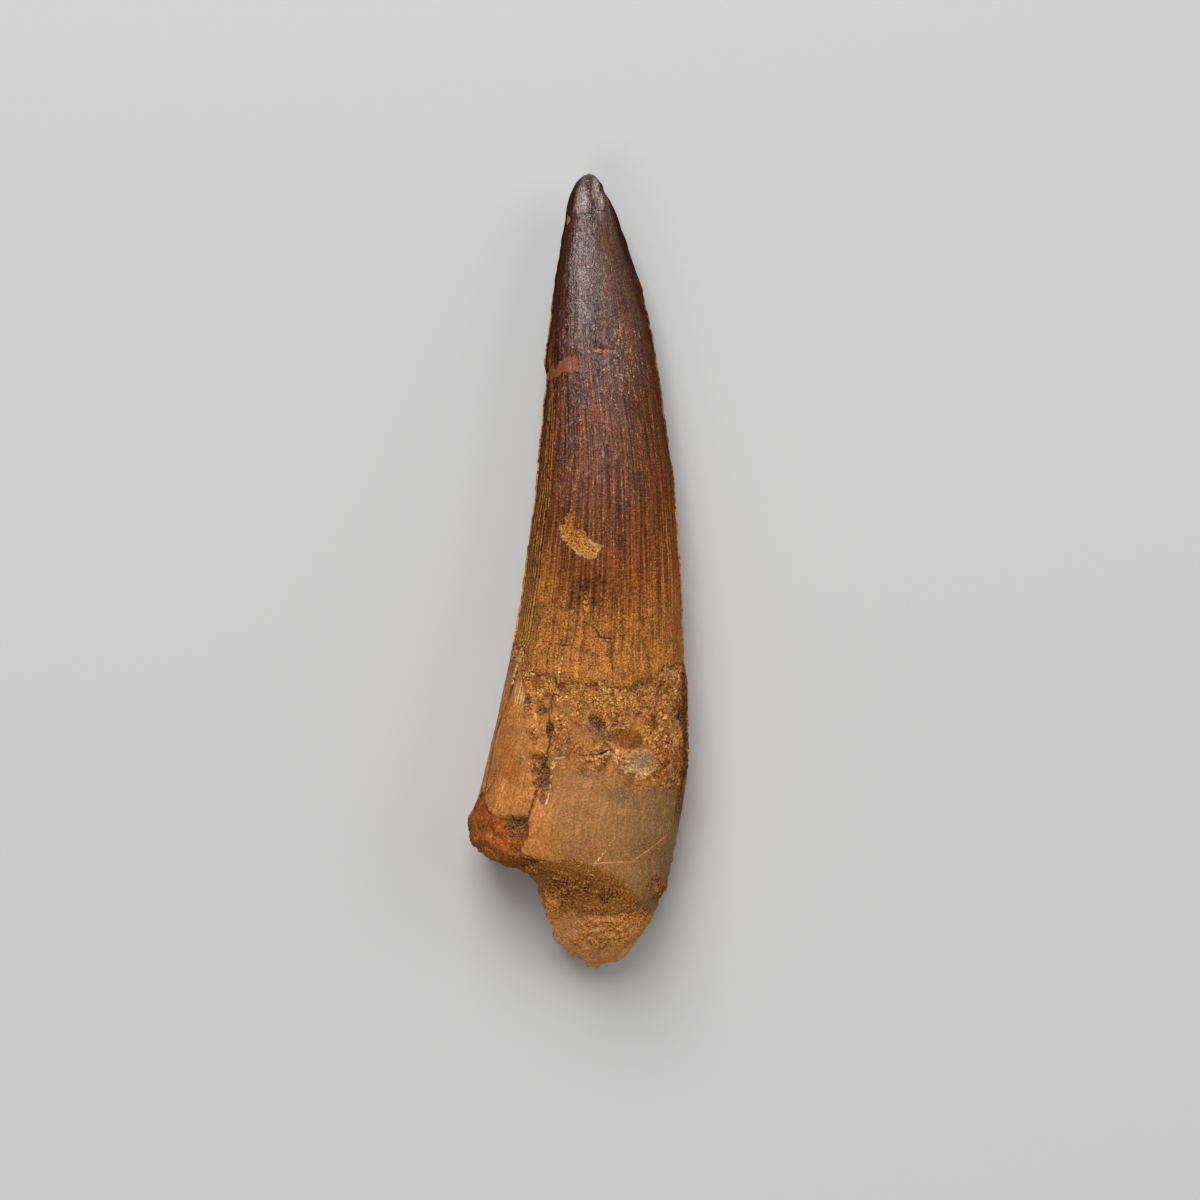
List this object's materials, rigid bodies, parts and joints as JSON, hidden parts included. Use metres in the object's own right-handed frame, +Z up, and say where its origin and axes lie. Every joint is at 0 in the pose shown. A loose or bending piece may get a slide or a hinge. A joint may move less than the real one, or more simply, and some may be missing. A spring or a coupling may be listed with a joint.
{
  "type": "spinosaurus tooth",
  "caption": "Large fossil tooth lying on its side: a brown, fluted, conical crown with sharp carinae, grown onto an ochre root whose end is broken into a lobe, a scoop and a tongue.",
  "frame": {"origin": "on the plane that the tooth rests on, under the middle of its bounding box", "axes": "+Y runs along the tooth from the root to the tip, +X points to the more convex carina, and +Z points up from the resting plane, out of the side that is shown"},
  "size_m": [0.0348, 0.127, 0.0223],
  "materials": {
    "fossil_tooth": "mineralised tooth: satin dark brown enamel that pales to ochre, over a dull, cracked, ochre to tan root with crusted and pitted patches"
  },
  "bodies": {
    "root": {"tooth": "fossil_tooth"}
  },
  "joints": []
}
